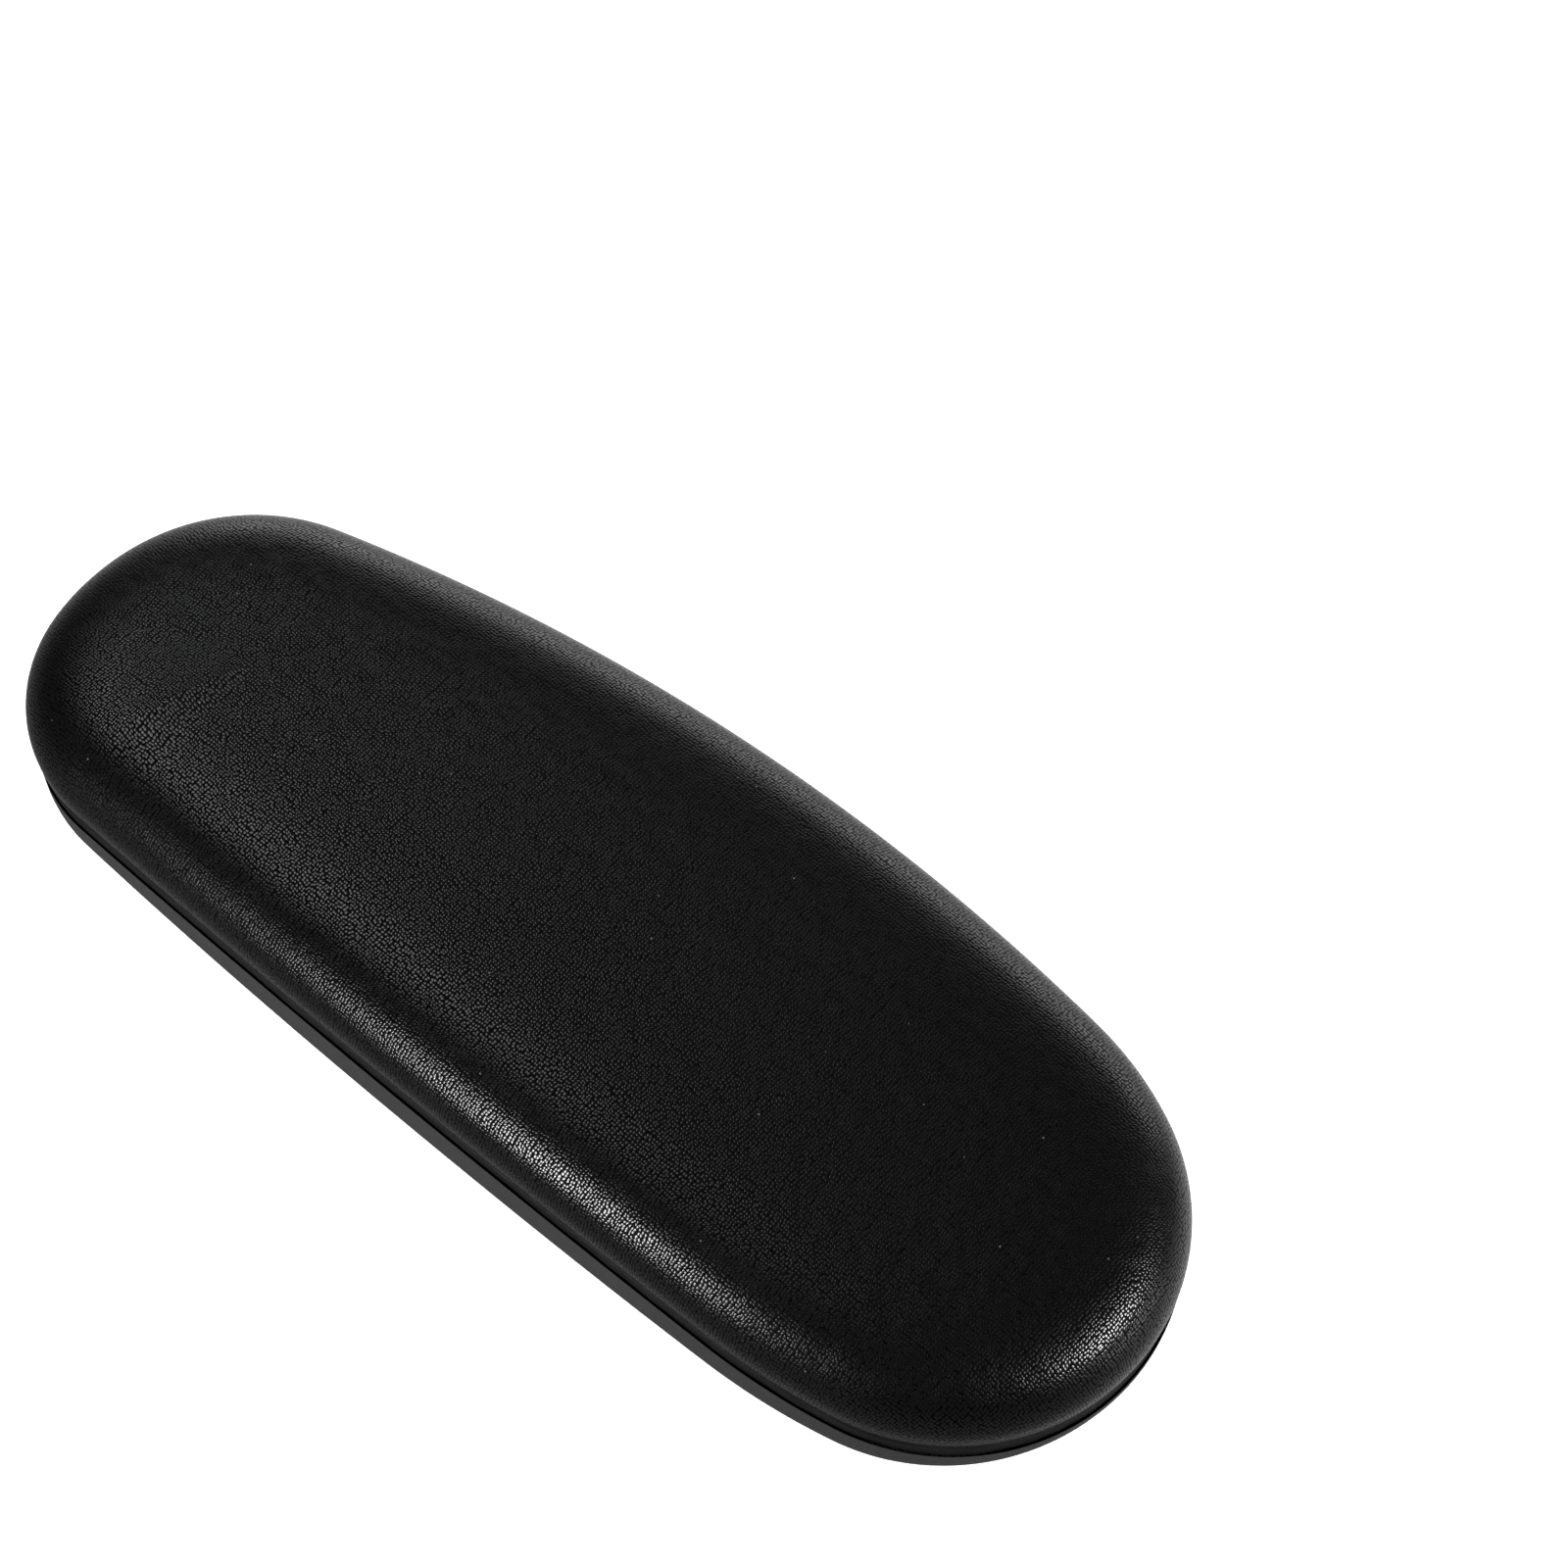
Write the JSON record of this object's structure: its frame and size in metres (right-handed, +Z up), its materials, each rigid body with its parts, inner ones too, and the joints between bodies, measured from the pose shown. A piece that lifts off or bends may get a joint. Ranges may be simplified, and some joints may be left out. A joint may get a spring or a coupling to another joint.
{
  "type": "chair armrest pad",
  "caption": "Soft moulded armrest pad for an office chair, with a grained crowned top, a trimmed parting rim and threaded nuts in a hidden board for bolting it to the arm.",
  "frame": {"origin": "centre of the pad's length and width, on the flat underside", "axes": "+X along the pad towards its wider front end, +Y across it towards the bowed side, +Z up out of the crowned top"},
  "size_m": [0.26, 0.0986, 0.0334],
  "materials": {
    "grained_skin": "satin",
    "rim_skin": "satin",
    "matte_skin": "matte",
    "foam": "matte",
    "plywood": "matte",
    "zinc_steel": "satin",
    "foil": "satin"
  },
  "bodies": {
    "root": {"upper_skin": "grained_skin", "parting_rim": "rim_skin", "lower_skin": "matte_skin", "foam_core": "foam", "core_board": "plywood", "tee_nut_front_left": "zinc_steel", "tee_nut_front_right": "zinc_steel", "tee_nut_rear_left": "zinc_steel", "tee_nut_rear_right": "zinc_steel", "seal_front_left": "foil", "seal_front_right": "foil", "seal_rear_left": "foil", "seal_rear_right": "foil"}
  },
  "joints": []
}
